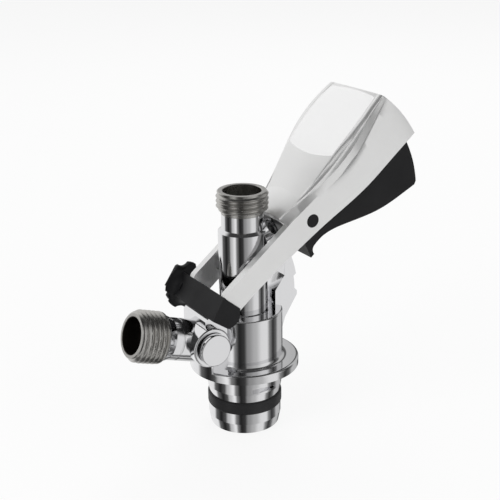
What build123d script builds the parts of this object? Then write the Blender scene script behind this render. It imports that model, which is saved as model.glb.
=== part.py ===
"""Keg coupler: lever-operated dispensing head with a bayonet neck, a sliding probe, a side gas inlet,
a pull-type relief valve and a fork lever locked by a squeeze trigger.

Frame: +Z runs up the probe axis, the bottom face of the neck is z = 0, the lever reaches towards +X,
the gas inlet points to -X and the relief valve to -Y.  All sizes are in millimetres.
"""
from build123d import *
from math import asin, cos, degrees, radians, sin, sqrt, tan
import os

os.makedirs("parts", exist_ok=True)

# ---------------------------------------------------------------- clearances
RUNNING_FIT = 0.05          # radial play of a pin or shaft in its bore
SLIDING_GAP = 0.35          # play between parts that pass each other
SEAL_GAP = 0.30             # nominal gap between a soft seal and the face it wipes
CUT_REACH = 40.0            # length of cuts that go right through

# ---------------------------------------------------------------- neck and flange
NECK_R = 16.8               # bayonet neck
NECK_TOP_Z = 28.6           # underside of the flange
FOOT_R = 16.45              # plain ring below the seal
FOOT_BOTTOM_R = 15.5        # the foot tapers in to this radius
FOOT_TAPER_H = 4.7
SEAL_Z0 = 9.7               # lower edge of the neck seal
SEAL_H = 5.6
SEAL_GROOVE_R = 14.9
SEAL_R = 16.85
LEAD_R = 16.1               # small end of the cone above the seal
LEAD_H = 4.0
FLANGE_R = 24.56
FLANGE_H = 4.0
FLANGE_EDGE_R = 1.2
POCKET_FLOOR_R = 14.9       # bayonet pocket: floor radius, height and angular reach
POCKET_H = 3.2
POCKET_Z0 = 19.9
POCKET_TAIL_RISE = 0.7      # the pocket narrows to this band at its shallow end
POCKET_TAIL_H = 0.6
POCKET_ANGLE = 42.0
POCKET_START = -109.0       # direction of the deep end of the first pocket, degrees from +X

# ---------------------------------------------------------------- barrel of the body
BARREL_R = 17.36
BARREL_TOP_Z = 55.0
BARREL_FILLET = 1.8
CHAMBER_R = 13.2            # gas space round the probe
MOUTH_R = 13.8              # mouth that takes the keg's valve
MOUTH_L = 10.0
GUIDE_LENGTH = 4.6          # collar that guides the probe at the top of the barrel
GUIDE_SEAL_H = 2.2
GUIDE_SEAL_DEPTH = 1.7

# ---------------------------------------------------------------- probe
PROBE_R = 10.79
PROBE_BORE_R = 8.0
PROBE_STEM_R = 9.6          # thinner stem inside the gas space
PROBE_STEM_TOP_Z = 44.0
PROBE_BOTTOM_Z = 12.6
PROBE_SHOULDER_Z = 91.6     # where the tube tapers to its neck
PROBE_SHOULDER_H = 1.3
PROBE_NECK_R = 9.25
PROBE_NECK_TOP_Z = 99.6     # joint with the outlet nipple
TIP_SEAL_R = 12.4
TIP_SEAL_Z0 = 14.0
TIP_SEAL_H = 6.5
TIP_GROOVE_R = 9.0
TIP_FLANGE_R = 10.2
TIP_LIP_DROP = 1.1
TRUNNION_R = 5.4
TRUNNION_GAP = 0.4          # play between each trunnion boss and its arm
TRUNNION_PIN_R = 2.4
TRUNNION_PIN_GAP = 0.3      # play between each pin's end and the floor of its slot
TRUNNION_SOCKET = 2.4       # depth of each pin in its boss
TRUNNION_EDGE_R = 0.9       # rounding of the boss's rim, limited by how far it stands out
EDGE_LEFT = 0.01
TRUNNION_ANGLE = 3.4        # line of the cam slot against the arms, through the hinge

# ---------------------------------------------------------------- outlet nipple and check ball
THREAD_R = 11.455           # pipe thread G 5/8, major radius
OUTLET_TOP_Z = 109.7
OUTLET_BORE_R = 8.44
OUTLET_THREAD_L = 8.6
OUTLET_CHAMFER = 0.9
NIPPLE_SPIGOT_R = 8.4
NIPPLE_SPIGOT_L = 6.0
NIPPLE_BORE_R = 7.2
BALL_R = 6.2
BALL_SEAT_R = 5.2
BALL_LIFT = 1.0
SEAT_Z = 84.0
SEAT_H = 2.0
RETAINER_H = 1.2
RETAINER_BORE_R = 5.0

# ---------------------------------------------------------------- side plug of the probe
PLUG_FACE = (10.2, -7.3, 93.4)
PLUG_AZIMUTH = -50.0
PLUG_TILT = 40.0
PLUG_BOSS_R = 4.4
PLUG_BOSS_L = 14.0
PLUG_R = 3.4
PLUG_KEY = 2.5              # across flats of the key socket
PLUG_KEY_DEPTH = 1.1
PLUG_DEPTH = 2.2
PLUG_STAND_IN = 0.5         # the plug's face lies this far inside the boss face

# ---------------------------------------------------------------- hinge bracket and gas block
HINGE_X = -17.6
HINGE_Z = 61.4
HINGE_PIN_R = 2.5
KNUCKLE_R = 4.2
BRACKET_HALF_W = 9.8
BRACKET_FRONT_X = -25.0
BRACKET_BACK_X = -11.9
BRACKET_SHOULDER_Z = 57.2
BLOCK_TURNED_H = 6.5        # lower part of the block, turned flush with the flange

# ---------------------------------------------------------------- gas inlet
GAS_AXIS_Z = 37.0           # height where the inlet axis meets the probe axis
GAS_TILT = 17.9             # upward tilt of the inlet
GAS_SHOULDER_S = 36.8       # distances along the inlet axis from the probe axis
GAS_WASHER_T = 0.6
GAS_TAPER_S = 41.0
GAS_THREAD_S = 45.5
GAS_END_S = 58.0
GAS_TUBE_R = 9.27
GAS_TAPER_R = 10.5
GAS_BORE_R = 8.08
GAS_TAIL_BORE_R = 5.6
GAS_THROAT_R = 4.0
GAS_SPIGOT_R = 7.4
GAS_SPIGOT_L = 5.0
GAS_CHAMFER = 1.9
VALVE_S = 46.0              # seat of the check valve in the inlet
VALVE_RIM_H = 1.6
VALVE_BODY_R = 4.9
VALVE_BODY_L = 7.0
VALVE_WALL = 1.2
CLIP_RING_H = 1.0
CLIP_RING_W = 1.7

# ---------------------------------------------------------------- relief valve
RELIEF_X = -23.6
RELIEF_Z = 46.1
RELIEF_BOSS_R = 8.9
RELIEF_BOSS_Y = -13.4       # outer face of the boss
RELIEF_ROOT_Y = -3.0        # the boss runs back to here inside the block and the inlet
RELIEF_CAP_R = 7.1
RELIEF_CAP_FACE_Y = -16.6
RELIEF_CAP_H = 2.6
RELIEF_CAVITY_R = 4.6
RELIEF_SEAT_Y = -5.0
RELIEF_PORT_R = 1.6
RELIEF_PORT_SHIFT = 1.4     # the port lies towards the probe, clear of the inlet tail
RELIEF_POPPET_R = 4.1
RELIEF_POPPET_H = 0.8
RELIEF_DISC_H = 0.5
RELIEF_STEM_R = 1.3
RELIEF_BUSH_H = 1.1
RELIEF_TRAVEL = 1.6
RELIEF_SPRING_R = 3.4
RELIEF_SPRING_T = 1.1

# ---------------------------------------------------------------- rear ear (latch sector)
EAR_HALF_W = 7.0
EAR_ARC_R = 41.6            # rear edge, about the hinge
EAR_NOTCH_DEPTH = 1.4
EAR_TOP_Z = 77.0
EAR_FRONT_X = 12.4
EAR_TOP_L = 3.1642         # width of the ear top, behind the side boss of the probe
EAR_STEP_IN = 0.5
EAR_STEP_Z = 62.6
EAR_STEP_TOP_Z = 69.0
EAR_ROOT_Z = 42.0
EAR_ROOT_BITE = 2.0         # the ear's root lies this deep in the barrel wall
EAR_LOW_ANGLE = -19.5       # points of the rear edge, degrees above the horizontal through the hinge
EAR_LOW_INSET = 4.2
EAR_TOOTH_ANGLE = -4.0
EAR_TOOTH_END = -1.6
EAR_NOTCH_LOW = 0.5
EAR_NOTCH_HIGH = 9.0
EAR_NOTCH_RISE = 1.0

# ---------------------------------------------------------------- lever, in its own axes:
# u runs from the hinge along the arms, v is square to it and points up, y is sideways
LEVER_ANGLE = 38.3          # slope of the arms with the coupler untapped
LEVER_TRAVEL = 24.0
ARM_GAP = 1.31              # between the probe and the inner face of each arm
ARM_THICK = 3.4
ARM_TOP_V = 7.0
ARM_END_R = 5.2
ARM_ROOT_L = 0.6            # the arms run this far into the shell
ARM_END_CLEAR = 0.05
ARM_LOWER = [(6.3, -4.0), (32.6, -4.7), (62.0, -7.4), (86.0, -9.2), (99.0, -8.4), (120.0, -7.4)]
SHELL_WALL = 2.2
SHELL_TAPER = 16.0          # the side walls thicken towards the arms by this over u
SHELL_FOOT_V = -14.0        # the shell is made down to here, then cut to the lower edge
ROOF_THICK = 2.6
ROOF_CROWN = 0.9
RIDGE_LIP = 0.9
PIVOT_U = 55.4              # trigger pivot
PIVOT_V = -0.8
SLOT_DEPTH = 2.1
SLOT_CLEARANCE = 0.95
LABEL_DEPTH = 0.6
LABEL_MARGIN = 1.9
LABEL_U0 = 84.0
LABEL_U1 = 110.5
LABEL_END_IN = 0.9          # the label's corners lie inside its widest line
LABEL_FRONT_BOW = 3.2
LABEL_SIDE_BOW = 0.5
LABEL_END_BOW = 1.2
LABEL_CORNER_R = 2.0
LABEL_BASE_V = 8.0
# u, ridge half width, ridge v, flare of the panel beyond the arms, crease v
SHELL_SECTIONS = [
    (45.3, 11.0, 10.1, 0.0, 7.0),
    (55.9, 12.9, 10.1, 0.0, 7.0),
    (66.0, 16.0, 11.1, 0.35, 6.2),
    (77.9, 19.3, 13.7, 1.1, 4.4),
    (90.0, 21.2, 16.4, 1.9, 6.5),
    (101.0, 21.1, 18.1, 2.7, 11.0),
    (110.0, 19.9, 18.8, 3.4, 14.5),
]
SHELL_LAST = (1.0, 18.9, 18.6, 3.4, 16.0)   # last section, u counted from the end wall

# ---------------------------------------------------------------- trigger
TRIGGER_TRAVEL = 9.0
TRIGGER_PIN_R = 3.0
TRIGGER_PIN_PROUD = 0.15
GRIP_END_R = 57.7           # rear face of the grip, about the trigger pivot
GRIP_END_GAP = 1.7          # play between the grip's rear face and the lever's end wall
GRIP_HEEL_ANGLE = -29.2
GRIP_REAR_ANGLE = -12.0
GRIP_SHOULDER = 5.4         # height of the rear edge's upper end above the trigger pivot
GRIP_HOOK = [(50.4, 1.8), (48.0, -4.0), (47.4, -8.4), (45.5, -16.9), (47.7, -16.7)]
GRIP_HOOK_ROOT = (48.1, -14.9)
GRIP_FINGER = [(49.6, -13.6), (54.4, -13.2), (61.5, -14.6), (68.2, -17.7), (75.7, -21.7), (84.5, -25.6),
               (95.7, -28.4), (104.2, -29.9)]
GRIP_FRONT_U = 44.0
GRIP_FRONT_TAPER = 0.3      # the grip is this much narrower each side at its front
GRIP_TOP_V = 4.6
GRIP_SIDE_GAP = 0.5
BLADE_HALF_T = 1.5
BLADE_LOWER = [(46.0, -11.6), (53.0, -9.8), (58.5, -6.0), (58.5, 2.2)]
BLADE_UPPER = [(52.6, 2.2), (48.6, -3.4), (44.5, -6.9)]
BLADE_ROOM = [(40.0, -12.0), (46.2, -12.0), (53.2, -10.0), (58.7, -6.2), (58.7, 8.0), (40.0, 8.0)]
NOSE_GAP = 0.6              # play between the latch nose and the rear edge of the ear
NOSE_ANGLE = -11.8
NOSE_FACE = (0.9, -1.9)
TRIGGER_SPRING_R = 4.6
TRIGGER_SPRING_L = 5.2
TRIGGER_SPRING_Y = 2.9

# ---------------------------------------------------------------- end clip
CLIP_WALL = 1.2
CLIP_FACE_DIST = 5.65       # outer front face of the clip, from the hinge axis
CLIP_FACE_TILT = 21.8       # of that face against the arms
CLIP_FACE_UP = 6.2          # reach of the face either way from the foot of that distance
CLIP_FACE_DOWN = 4.9
CLIP_CHEEK = 0.9
CLIP_CHEEK_R = 6.5
CLIP_REACH = 5.0            # the front wall runs this far beyond the far arm
CLIP_HEEL = (5.8, -2.66)    # where the cheek's upper edge meets its round
KNOB_R = 10.3
KNOB_STAND = 6.1            # the knob stands off the far arm by this
KNOB_T = 2.9
KNOB_EDGE = 0.6
KNOB_SCALLOP_R = 3.4
KNOB_SCALLOP_DEPTH = 1.5
KNOB_SCALLOPS = (39, 98, 193, 252, 300, 351)
HINGE_BUSH_R = 4.2
HINGE_BUSH_GAP = 0.15


lever_axis = Vector(cos(radians(LEVER_ANGLE)), 0, sin(radians(LEVER_ANGLE)))
lever_up = Vector(-sin(radians(LEVER_ANGLE)), 0, cos(radians(LEVER_ANGLE)))
hinge = Vector(HINGE_X, 0, HINGE_Z)
lever_side = Plane(origin=hinge, x_dir=lever_axis, z_dir=Vector(0, -1, 0))
lever_plan = Plane(origin=hinge, x_dir=lever_axis, z_dir=lever_up)

gas_dir = Vector(-cos(radians(GAS_TILT)), 0, sin(radians(GAS_TILT)))
gas_origin = Vector(0, 0, GAS_AXIS_Z)


def gas_plane(s):
    """Plane square to the inlet axis at distance s from the probe axis."""
    return Plane(origin=gas_origin + gas_dir * s, x_dir=Vector(0, 1, 0), z_dir=gas_dir)


side_plane = Plane(origin=(0, 0, 0), x_dir=(1, 0, 0), z_dir=(0, -1, 0))
arm_inner = PROBE_R + ARM_GAP
arm_half_w = arm_inner + ARM_THICK
lever_end_r = GRIP_END_R + GRIP_END_GAP + SHELL_WALL
trunnion_reach = arm_inner - TRUNNION_GAP
trunnion_pin_reach = arm_inner + SLOT_DEPTH - TRUNNION_PIN_GAP


def ear_point(radius, angle):
    """Point of the side view at this radius and angle about the hinge."""
    return (HINGE_X + radius * cos(radians(angle)), HINGE_Z + radius * sin(radians(angle)))


def relief_plane(y):
    """Plane square to the relief valve's axis, facing outwards (-Y)."""
    return Plane(origin=(RELIEF_X, y, RELIEF_Z), x_dir=(1, 0, 0), z_dir=(0, -1, 0))


# ================================================================ body
flange_top_z = NECK_TOP_Z + FLANGE_H
seal_top_z = SEAL_Z0 + SEAL_H
guide_bottom_z = BARREL_TOP_Z - GUIDE_LENGTH
guide_r = PROBE_R + RUNNING_FIT
guide_groove_z = guide_bottom_z + (GUIDE_LENGTH - GUIDE_SEAL_H) / 2
guide_groove_r = guide_r + GUIDE_SEAL_DEPTH

with BuildPart() as coupler_body:
    # turned outside and bore
    with BuildSketch(Plane.XZ):
        with BuildLine():
            Polyline(
                (0, 0),
                (FOOT_BOTTOM_R, 0),
                (FOOT_R, FOOT_TAPER_H),
                (FOOT_R, SEAL_Z0),
                (SEAL_GROOVE_R, SEAL_Z0),
                (SEAL_GROOVE_R, seal_top_z),
                (LEAD_R, seal_top_z),
                (NECK_R, seal_top_z + LEAD_H),
                (NECK_R, NECK_TOP_Z),
                (FLANGE_R, NECK_TOP_Z),
                (FLANGE_R, flange_top_z),
                (BARREL_R, flange_top_z),
                (BARREL_R, BARREL_TOP_Z),
                (0, BARREL_TOP_Z),
                (0, 0),
            )
        make_face()
    revolve(axis=Axis.Z)
    rim = coupler_body.edges().filter_by(GeomType.CIRCLE).filter_by_position(
        Axis.Z, flange_top_z - 0.01, flange_top_z + 0.01
    )
    fillet(rim.sort_by(SortBy.RADIUS)[-1:], FLANGE_EDGE_R)
    top_rim = coupler_body.edges().filter_by(GeomType.CIRCLE).filter_by_position(
        Axis.Z, BARREL_TOP_Z - 0.01, BARREL_TOP_Z + 0.01
    )
    fillet(top_rim, 0.9)
    root = coupler_body.edges().filter_by(GeomType.CIRCLE).filter_by_position(
        Axis.Z, flange_top_z - 0.01, flange_top_z + 0.01
    )
    fillet(root.sort_by(SortBy.RADIUS)[:1], BARREL_FILLET)

    # gas block, its foot turned flush with the flange
    with BuildSketch(Plane.XY.offset(NECK_TOP_Z + FLANGE_H / 2)):
        Circle(FLANGE_R)
        with Locations((BRACKET_BACK_X - FLANGE_R / 2, 0)):
            Rectangle(FLANGE_R, 2 * BRACKET_HALF_W, mode=Mode.INTERSECT)
    extrude(amount=FLANGE_H / 2 + BLOCK_TURNED_H)

    # hinge bracket with its knuckle
    block_z0 = flange_top_z + BLOCK_TURNED_H - 0.5
    with BuildSketch(side_plane):
        with BuildLine():
            Polyline(
                (BRACKET_FRONT_X, block_z0),
                (BRACKET_FRONT_X, BRACKET_SHOULDER_Z),
                (HINGE_X - KNUCKLE_R * 0.94, HINGE_Z - KNUCKLE_R * 0.34),
                (HINGE_X, HINGE_Z),
                (HINGE_X + KNUCKLE_R * 0.98, HINGE_Z - KNUCKLE_R * 0.2),
                (BRACKET_BACK_X, BARREL_TOP_Z),
                (BRACKET_BACK_X, block_z0),
                (BRACKET_FRONT_X, block_z0),
            )
        make_face()
        with Locations((HINGE_X, HINGE_Z)):
            Circle(KNUCKLE_R)
    extrude(amount=BRACKET_HALF_W, both=True)

    # stub of the gas inlet
    with BuildSketch(gas_plane(CHAMBER_R + 2)):
        Circle(GAS_TUBE_R)
    extrude(amount=GAS_SHOULDER_S - CHAMBER_R - 2)

    # relief valve boss, standing on the near side of block and inlet
    with BuildSketch(relief_plane(RELIEF_ROOT_Y)):
        Circle(RELIEF_BOSS_R)
    extrude(amount=RELIEF_ROOT_Y - RELIEF_BOSS_Y)
    boss_rim = coupler_body.edges().filter_by(GeomType.CIRCLE).filter_by_position(
        Axis.Y, RELIEF_BOSS_Y - 0.01, RELIEF_BOSS_Y + 0.01
    )
    fillet(boss_rim, 0.8)

    # rear ear: a sector about the hinge, standing behind the probe
    ear_top_x = HINGE_X + sqrt(EAR_ARC_R**2 - (EAR_TOP_Z - HINGE_Z) ** 2)
    notch_r = EAR_ARC_R - EAR_NOTCH_DEPTH
    with BuildSketch(side_plane):
        with BuildLine():
            p_low = ear_point(EAR_ARC_R - EAR_LOW_INSET, EAR_LOW_ANGLE)
            p_tooth = ear_point(EAR_ARC_R, EAR_TOOTH_ANGLE)
            p_notch = ear_point(EAR_ARC_R, EAR_TOOTH_END)
            p_n0 = ear_point(notch_r, EAR_NOTCH_LOW)
            p_n1 = ear_point(notch_r, EAR_NOTCH_HIGH)
            p_n2 = ear_point(EAR_ARC_R, EAR_NOTCH_HIGH + EAR_NOTCH_RISE)
            p_top = (ear_top_x, EAR_TOP_Z)
            Polyline(
                p_top,
                (ear_top_x - EAR_TOP_L, EAR_TOP_Z),
                (ear_top_x - EAR_TOP_L - EAR_STEP_IN, EAR_STEP_TOP_Z),
                (EAR_FRONT_X, EAR_STEP_Z),
                (EAR_FRONT_X, EAR_ROOT_Z),
                (BARREL_R - EAR_ROOT_BITE, EAR_ROOT_Z),
                p_low,
                p_tooth,
                p_notch,
                p_n0,
            )
            RadiusArc(p_n0, p_n1, -notch_r)
            Line(p_n1, p_n2)
            RadiusArc(p_n2, p_top, -EAR_ARC_R)
        make_face()
    extrude(amount=EAR_HALF_W, both=True)

    # bore for the probe
    with BuildSketch(Plane.XZ):
        with BuildLine():
            Polyline(
                (0, -1),
                (MOUTH_R, -1),
                (MOUTH_R, MOUTH_L),
                (CHAMBER_R, MOUTH_L),
                (CHAMBER_R, guide_bottom_z - 1.6),
                (guide_r, guide_bottom_z),
                (guide_r, guide_groove_z),
                (guide_groove_r, guide_groove_z),
                (guide_groove_r, guide_groove_z + GUIDE_SEAL_H),
                (guide_r, guide_groove_z + GUIDE_SEAL_H),
                (guide_r, BARREL_TOP_Z - 0.7),
                (guide_r + 0.7, BARREL_TOP_Z),
                (guide_r + 0.7, BARREL_TOP_Z + 1),
                (0, BARREL_TOP_Z + 1),
                (0, -1),
            )
        make_face()
    revolve(axis=Axis.Z, mode=Mode.SUBTRACT)

    # gas passage and the socket of the inlet tail
    with BuildSketch(gas_plane(CHAMBER_R - 3)):
        Circle(GAS_THROAT_R)
    extrude(amount=GAS_SHOULDER_S - CHAMBER_R + 4, mode=Mode.SUBTRACT)
    with BuildSketch(gas_plane(GAS_SHOULDER_S - GAS_SPIGOT_L - 0.2)):
        Circle(GAS_SPIGOT_R + RUNNING_FIT)
    extrude(amount=2 * GAS_SPIGOT_L, mode=Mode.SUBTRACT)
    # relief valve cavity and port
    with BuildSketch(relief_plane(RELIEF_SEAT_Y)):
        Circle(RELIEF_CAVITY_R)
    extrude(amount=-RELIEF_BOSS_Y + RELIEF_SEAT_Y + 1, mode=Mode.SUBTRACT)
    with BuildSketch(relief_plane(0)):
        with Locations((RELIEF_PORT_SHIFT, 0)):
            Circle(RELIEF_PORT_R)
    extrude(amount=-RELIEF_SEAT_Y + 0.5, mode=Mode.SUBTRACT)

    # hinge pin bore
    with BuildSketch(side_plane):
        with Locations((HINGE_X, HINGE_Z)):
            Circle(HINGE_PIN_R + RUNNING_FIT)
    extrude(amount=CUT_REACH, both=True, mode=Mode.SUBTRACT)

    # two bayonet pockets: ramps that run out of the neck
    for turn in (0, 180):
        mid = radians(POCKET_START + POCKET_ANGLE / 2 + turn)
        half = NECK_R * sin(radians(POCKET_ANGLE / 2))
        out = Vector(cos(mid), sin(mid), 0)
        wedge_plane = Plane(origin=out * (NECK_R + 3), x_dir=Vector(-sin(mid), cos(mid), 0), z_dir=out * -1)
        with BuildPart(mode=Mode.PRIVATE) as pocket:
            with BuildSketch(wedge_plane):
                with BuildLine():
                    Polyline(
                        (-half, -POCKET_Z0),
                        (-half, -POCKET_Z0 - POCKET_H),
                        (half, -POCKET_Z0 - POCKET_TAIL_RISE - POCKET_TAIL_H),
                        (half, -POCKET_Z0 - POCKET_TAIL_RISE),
                        (-half, -POCKET_Z0),
                    )
                make_face()
            extrude(amount=8)
            Cylinder(POCKET_FLOOR_R, 2 * BARREL_TOP_Z, mode=Mode.SUBTRACT)
        add(pocket.part, mode=Mode.SUBTRACT)
coupler_body.part.label = "coupler_body"
export_step(coupler_body.part, "parts/coupler_body.step")

# ================================================================ neck seal
with BuildPart() as neck_seal:
    with BuildSketch(Plane.XY.offset(SEAL_Z0 + RUNNING_FIT)):
        Circle(SEAL_R)
        Circle(SEAL_GROOVE_R + RUNNING_FIT, mode=Mode.SUBTRACT)
    extrude(amount=SEAL_H - 2 * RUNNING_FIT)
    fillet(neck_seal.edges().filter_by(GeomType.CIRCLE).sort_by(SortBy.RADIUS)[-2:], 0.7)
neck_seal.part.label = "neck_seal"
export_step(neck_seal.part, "parts/neck_seal.step")

# ================================================================ guide seal in the collar of the barrel
with BuildPart() as guide_seal:
    with BuildSketch(Plane.XY.offset(guide_groove_z + RUNNING_FIT)):
        Circle(guide_groove_r - RUNNING_FIT)
        Circle(PROBE_R + SEAL_GAP, mode=Mode.SUBTRACT)
    extrude(amount=GUIDE_SEAL_H - 2 * RUNNING_FIT)
guide_seal.part.label = "guide_seal"
export_step(guide_seal.part, "parts/guide_seal.step")

# ================================================================ probe tube
trunnion_z = HINGE_Z - HINGE_X * tan(radians(LEVER_ANGLE + TRUNNION_ANGLE))
retainer_z = PROBE_NECK_TOP_Z - NIPPLE_SPIGOT_L - RETAINER_H
socket_r = NIPPLE_SPIGOT_R + RUNNING_FIT
plug_face = Vector(*PLUG_FACE)
plug_dir = Vector(
    cos(radians(PLUG_AZIMUTH)) * cos(radians(PLUG_TILT)),
    sin(radians(PLUG_AZIMUTH)) * cos(radians(PLUG_TILT)),
    sin(radians(PLUG_TILT)),
)


def plug_plane(depth):
    """Plane square to the side plug, this far inside the boss face."""
    return Plane(origin=plug_face - plug_dir * depth, z_dir=plug_dir)


with BuildPart() as probe_tube:
    with BuildSketch(Plane.XZ):
        with BuildLine():
            Polyline(
                (0, PROBE_BOTTOM_Z),
                (TIP_FLANGE_R, PROBE_BOTTOM_Z),
                (TIP_FLANGE_R, TIP_SEAL_Z0),
                (TIP_GROOVE_R, TIP_SEAL_Z0),
                (TIP_GROOVE_R, TIP_SEAL_Z0 + TIP_SEAL_H),
                (PROBE_STEM_R, TIP_SEAL_Z0 + TIP_SEAL_H),
                (PROBE_STEM_R, PROBE_STEM_TOP_Z),
                (PROBE_R, PROBE_STEM_TOP_Z + 1.5),
                (PROBE_R, PROBE_SHOULDER_Z),
                (PROBE_NECK_R, PROBE_SHOULDER_Z + PROBE_SHOULDER_H),
                (PROBE_NECK_R, PROBE_NECK_TOP_Z),
                (0, PROBE_NECK_TOP_Z),
                (0, PROBE_BOTTOM_Z),
            )
        make_face()
    revolve(axis=Axis.Z)
    # trunnion bosses
    with BuildSketch(side_plane):
        with Locations((0, trunnion_z)):
            Circle(TRUNNION_R)
    extrude(amount=trunnion_reach, both=True)
    boss_edges = probe_tube.edges().filter_by(GeomType.CIRCLE).filter_by(
        lambda e: abs(abs(e.center().Y) - trunnion_reach) < 0.01
    )
    fillet(boss_edges, min(TRUNNION_EDGE_R, trunnion_reach - PROBE_R - EDGE_LEFT))
    # boss of the side plug
    with BuildSketch(plug_plane(PLUG_BOSS_L)):
        Circle(PLUG_BOSS_R)
    extrude(amount=PLUG_BOSS_L)
    # bore with the ball seat
    with BuildSketch(Plane.XZ):
        with BuildLine():
            Polyline(
                (0, PROBE_BOTTOM_Z - 1),
                (PROBE_BORE_R, PROBE_BOTTOM_Z - 1),
                (PROBE_BORE_R, SEAT_Z - SEAT_H - 2),
                (BALL_SEAT_R, SEAT_Z - SEAT_H),
                (BALL_SEAT_R, SEAT_Z),
                (NIPPLE_BORE_R, SEAT_Z + 0.6),
                (NIPPLE_BORE_R, retainer_z),
                (socket_r, retainer_z),
                (socket_r, PROBE_NECK_TOP_Z + 1),
                (0, PROBE_NECK_TOP_Z + 1),
                (0, PROBE_BOTTOM_Z - 1),
            )
        make_face()
    revolve(axis=Axis.Z, mode=Mode.SUBTRACT)
    # sockets of the trunnion pins
    for side in (-1, 1):
        with BuildSketch(Plane(origin=(0, side * (trunnion_reach - TRUNNION_SOCKET), trunnion_z),
                               z_dir=(0, side, 0))):
            Circle(TRUNNION_PIN_R + RUNNING_FIT)
        extrude(amount=TRUNNION_SOCKET + 1, mode=Mode.SUBTRACT)
    # socket of the side plug
    with BuildSketch(plug_plane(PLUG_DEPTH)):
        Circle(PLUG_R + RUNNING_FIT)
    extrude(amount=PLUG_DEPTH + 1, mode=Mode.SUBTRACT)
probe_tube.part.label = "probe_tube"
export_step(probe_tube.part, "parts/probe_tube.step")

# ================================================================ side plug
with BuildPart() as side_plug:
    with BuildSketch(plug_plane(PLUG_DEPTH - RUNNING_FIT)):
        Circle(PLUG_R)
    extrude(amount=PLUG_DEPTH - PLUG_STAND_IN)
    chamfer(side_plug.edges().filter_by(GeomType.CIRCLE).sort_by(Axis.Z)[-1:], 0.5)
    with BuildSketch(plug_plane(PLUG_STAND_IN + PLUG_KEY_DEPTH)):
        RegularPolygon(radius=PLUG_KEY / 2, side_count=6, major_radius=False)
    extrude(amount=4, mode=Mode.SUBTRACT)
side_plug.part.label = "side_plug"
export_step(side_plug.part, "parts/side_plug.step")

# ================================================================ trunnion pins
with BuildPart() as trunnion_pin_near:
    with BuildSketch(Plane(origin=(0, -trunnion_reach + TRUNNION_SOCKET - RUNNING_FIT, trunnion_z),
                           z_dir=(0, -1, 0))):
        Circle(TRUNNION_PIN_R)
    extrude(amount=trunnion_pin_reach - trunnion_reach + TRUNNION_SOCKET)
    chamfer(trunnion_pin_near.edges().group_by(Axis.Y)[0], 0.3)
trunnion_pin_near.part.label = "trunnion_pin_near"
export_step(trunnion_pin_near.part, "parts/trunnion_pin_near.step")

with BuildPart() as trunnion_pin_far:
    mirror(trunnion_pin_near.part, about=Plane.XZ)
trunnion_pin_far.part.label = "trunnion_pin_far"
export_step(trunnion_pin_far.part, "parts/trunnion_pin_far.step")

# ================================================================ tip seal of the probe
with BuildPart() as tip_seal:
    seal_in = TIP_GROOVE_R + RUNNING_FIT
    tip_z0 = TIP_SEAL_Z0 + RUNNING_FIT
    tip_z1 = TIP_SEAL_Z0 + TIP_SEAL_H - RUNNING_FIT
    with BuildSketch(Plane.XZ):
        with BuildLine():
            Polyline(
                (seal_in, tip_z0),
                (TIP_FLANGE_R + SEAL_GAP, tip_z0),
                (TIP_FLANGE_R + SEAL_GAP, tip_z0 - TIP_LIP_DROP),
                (TIP_SEAL_R, tip_z0 - TIP_LIP_DROP),
                (TIP_SEAL_R, tip_z0 + 1.5),
                (PROBE_STEM_R + 0.8, tip_z1),
                (seal_in, tip_z1),
                (seal_in, tip_z0),
            )
        make_face()
    revolve(axis=Axis.Z)
tip_seal.part.label = "tip_seal"
export_step(tip_seal.part, "parts/tip_seal.step")

# ================================================================ check ball and its retainer
ball_z = SEAT_Z + sqrt(BALL_R**2 - BALL_SEAT_R**2) + RUNNING_FIT
with BuildPart() as check_ball:
    with Locations((0, 0, ball_z)):
        Sphere(BALL_R)
check_ball.part.label = "check_ball"
export_step(check_ball.part, "parts/check_ball.step")

with BuildPart() as ball_retainer:
    with BuildSketch(Plane.XY.offset(retainer_z + RUNNING_FIT)):
        Circle(NIPPLE_SPIGOT_R)
        Circle(RETAINER_BORE_R, mode=Mode.SUBTRACT)
    extrude(amount=RETAINER_H - 2 * RUNNING_FIT)
ball_retainer.part.label = "ball_retainer"
export_step(ball_retainer.part, "parts/ball_retainer.step")

# ================================================================ outlet nipple
with BuildPart() as outlet_nipple:
    thread_z0 = OUTLET_TOP_Z - OUTLET_THREAD_L
    with BuildSketch(Plane.XZ):
        with BuildLine():
            Polyline(
                (NIPPLE_BORE_R, PROBE_NECK_TOP_Z - NIPPLE_SPIGOT_L),
                (NIPPLE_SPIGOT_R, PROBE_NECK_TOP_Z - NIPPLE_SPIGOT_L),
                (NIPPLE_SPIGOT_R, PROBE_NECK_TOP_Z + RUNNING_FIT),
                (PROBE_NECK_R, PROBE_NECK_TOP_Z + RUNNING_FIT),
                (PROBE_NECK_R, thread_z0),
                (THREAD_R - OUTLET_CHAMFER, thread_z0),
                (THREAD_R, thread_z0 + OUTLET_CHAMFER),
                (THREAD_R, OUTLET_TOP_Z - OUTLET_CHAMFER),
                (THREAD_R - OUTLET_CHAMFER, OUTLET_TOP_Z),
                (OUTLET_BORE_R, OUTLET_TOP_Z),
                (OUTLET_BORE_R, thread_z0),
                (NIPPLE_BORE_R, thread_z0 - OUTLET_BORE_R + NIPPLE_BORE_R),
                (NIPPLE_BORE_R, PROBE_NECK_TOP_Z - NIPPLE_SPIGOT_L),
            )
        make_face()
    revolve(axis=Axis.Z)
outlet_nipple.part.label = "outlet_nipple"
export_step(outlet_nipple.part, "parts/outlet_nipple.step")

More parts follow.
